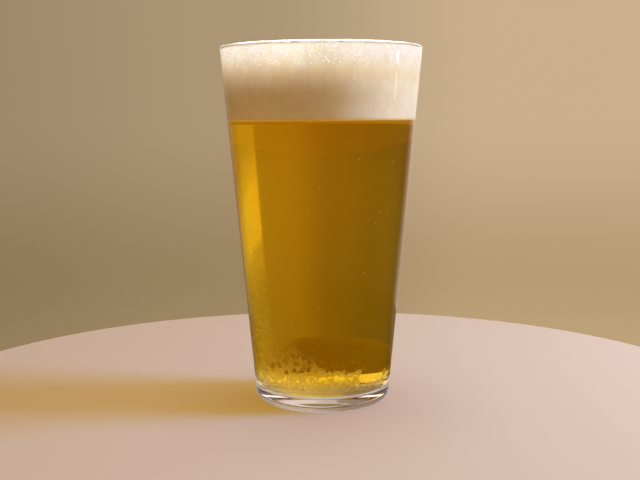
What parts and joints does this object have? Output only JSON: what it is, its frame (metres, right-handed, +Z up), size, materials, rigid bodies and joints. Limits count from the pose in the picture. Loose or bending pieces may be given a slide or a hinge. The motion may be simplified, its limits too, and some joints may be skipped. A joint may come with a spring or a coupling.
{
  "type": "pint of beer",
  "caption": "Straight-sided tapered pint glass of golden lager with a thick white head of foam; it stands on its clear base.",
  "frame": {"origin": "centre of the flat ring of the base, on the surface that the glass stands on", "axes": "+Z up along the axis of the glass, -Y towards the viewer, +X to the viewer's right"},
  "size_m": [0.0846, 0.0846, 0.15],
  "materials": {
    "glass": "clear and polished, with a bright rounded lip, a clear base and fine condensation low on the wall",
    "beer": "clear golden lager, deeper amber where it is seen through more of it, with a few fine rising bubbles",
    "foam": "dense creamy white foam that light soaks into, with fine bubbles and larger ones at the top edge"
  },
  "bodies": {
    "root": {"glass": "glass", "beer": "beer", "foam": "foam"}
  },
  "joints": []
}
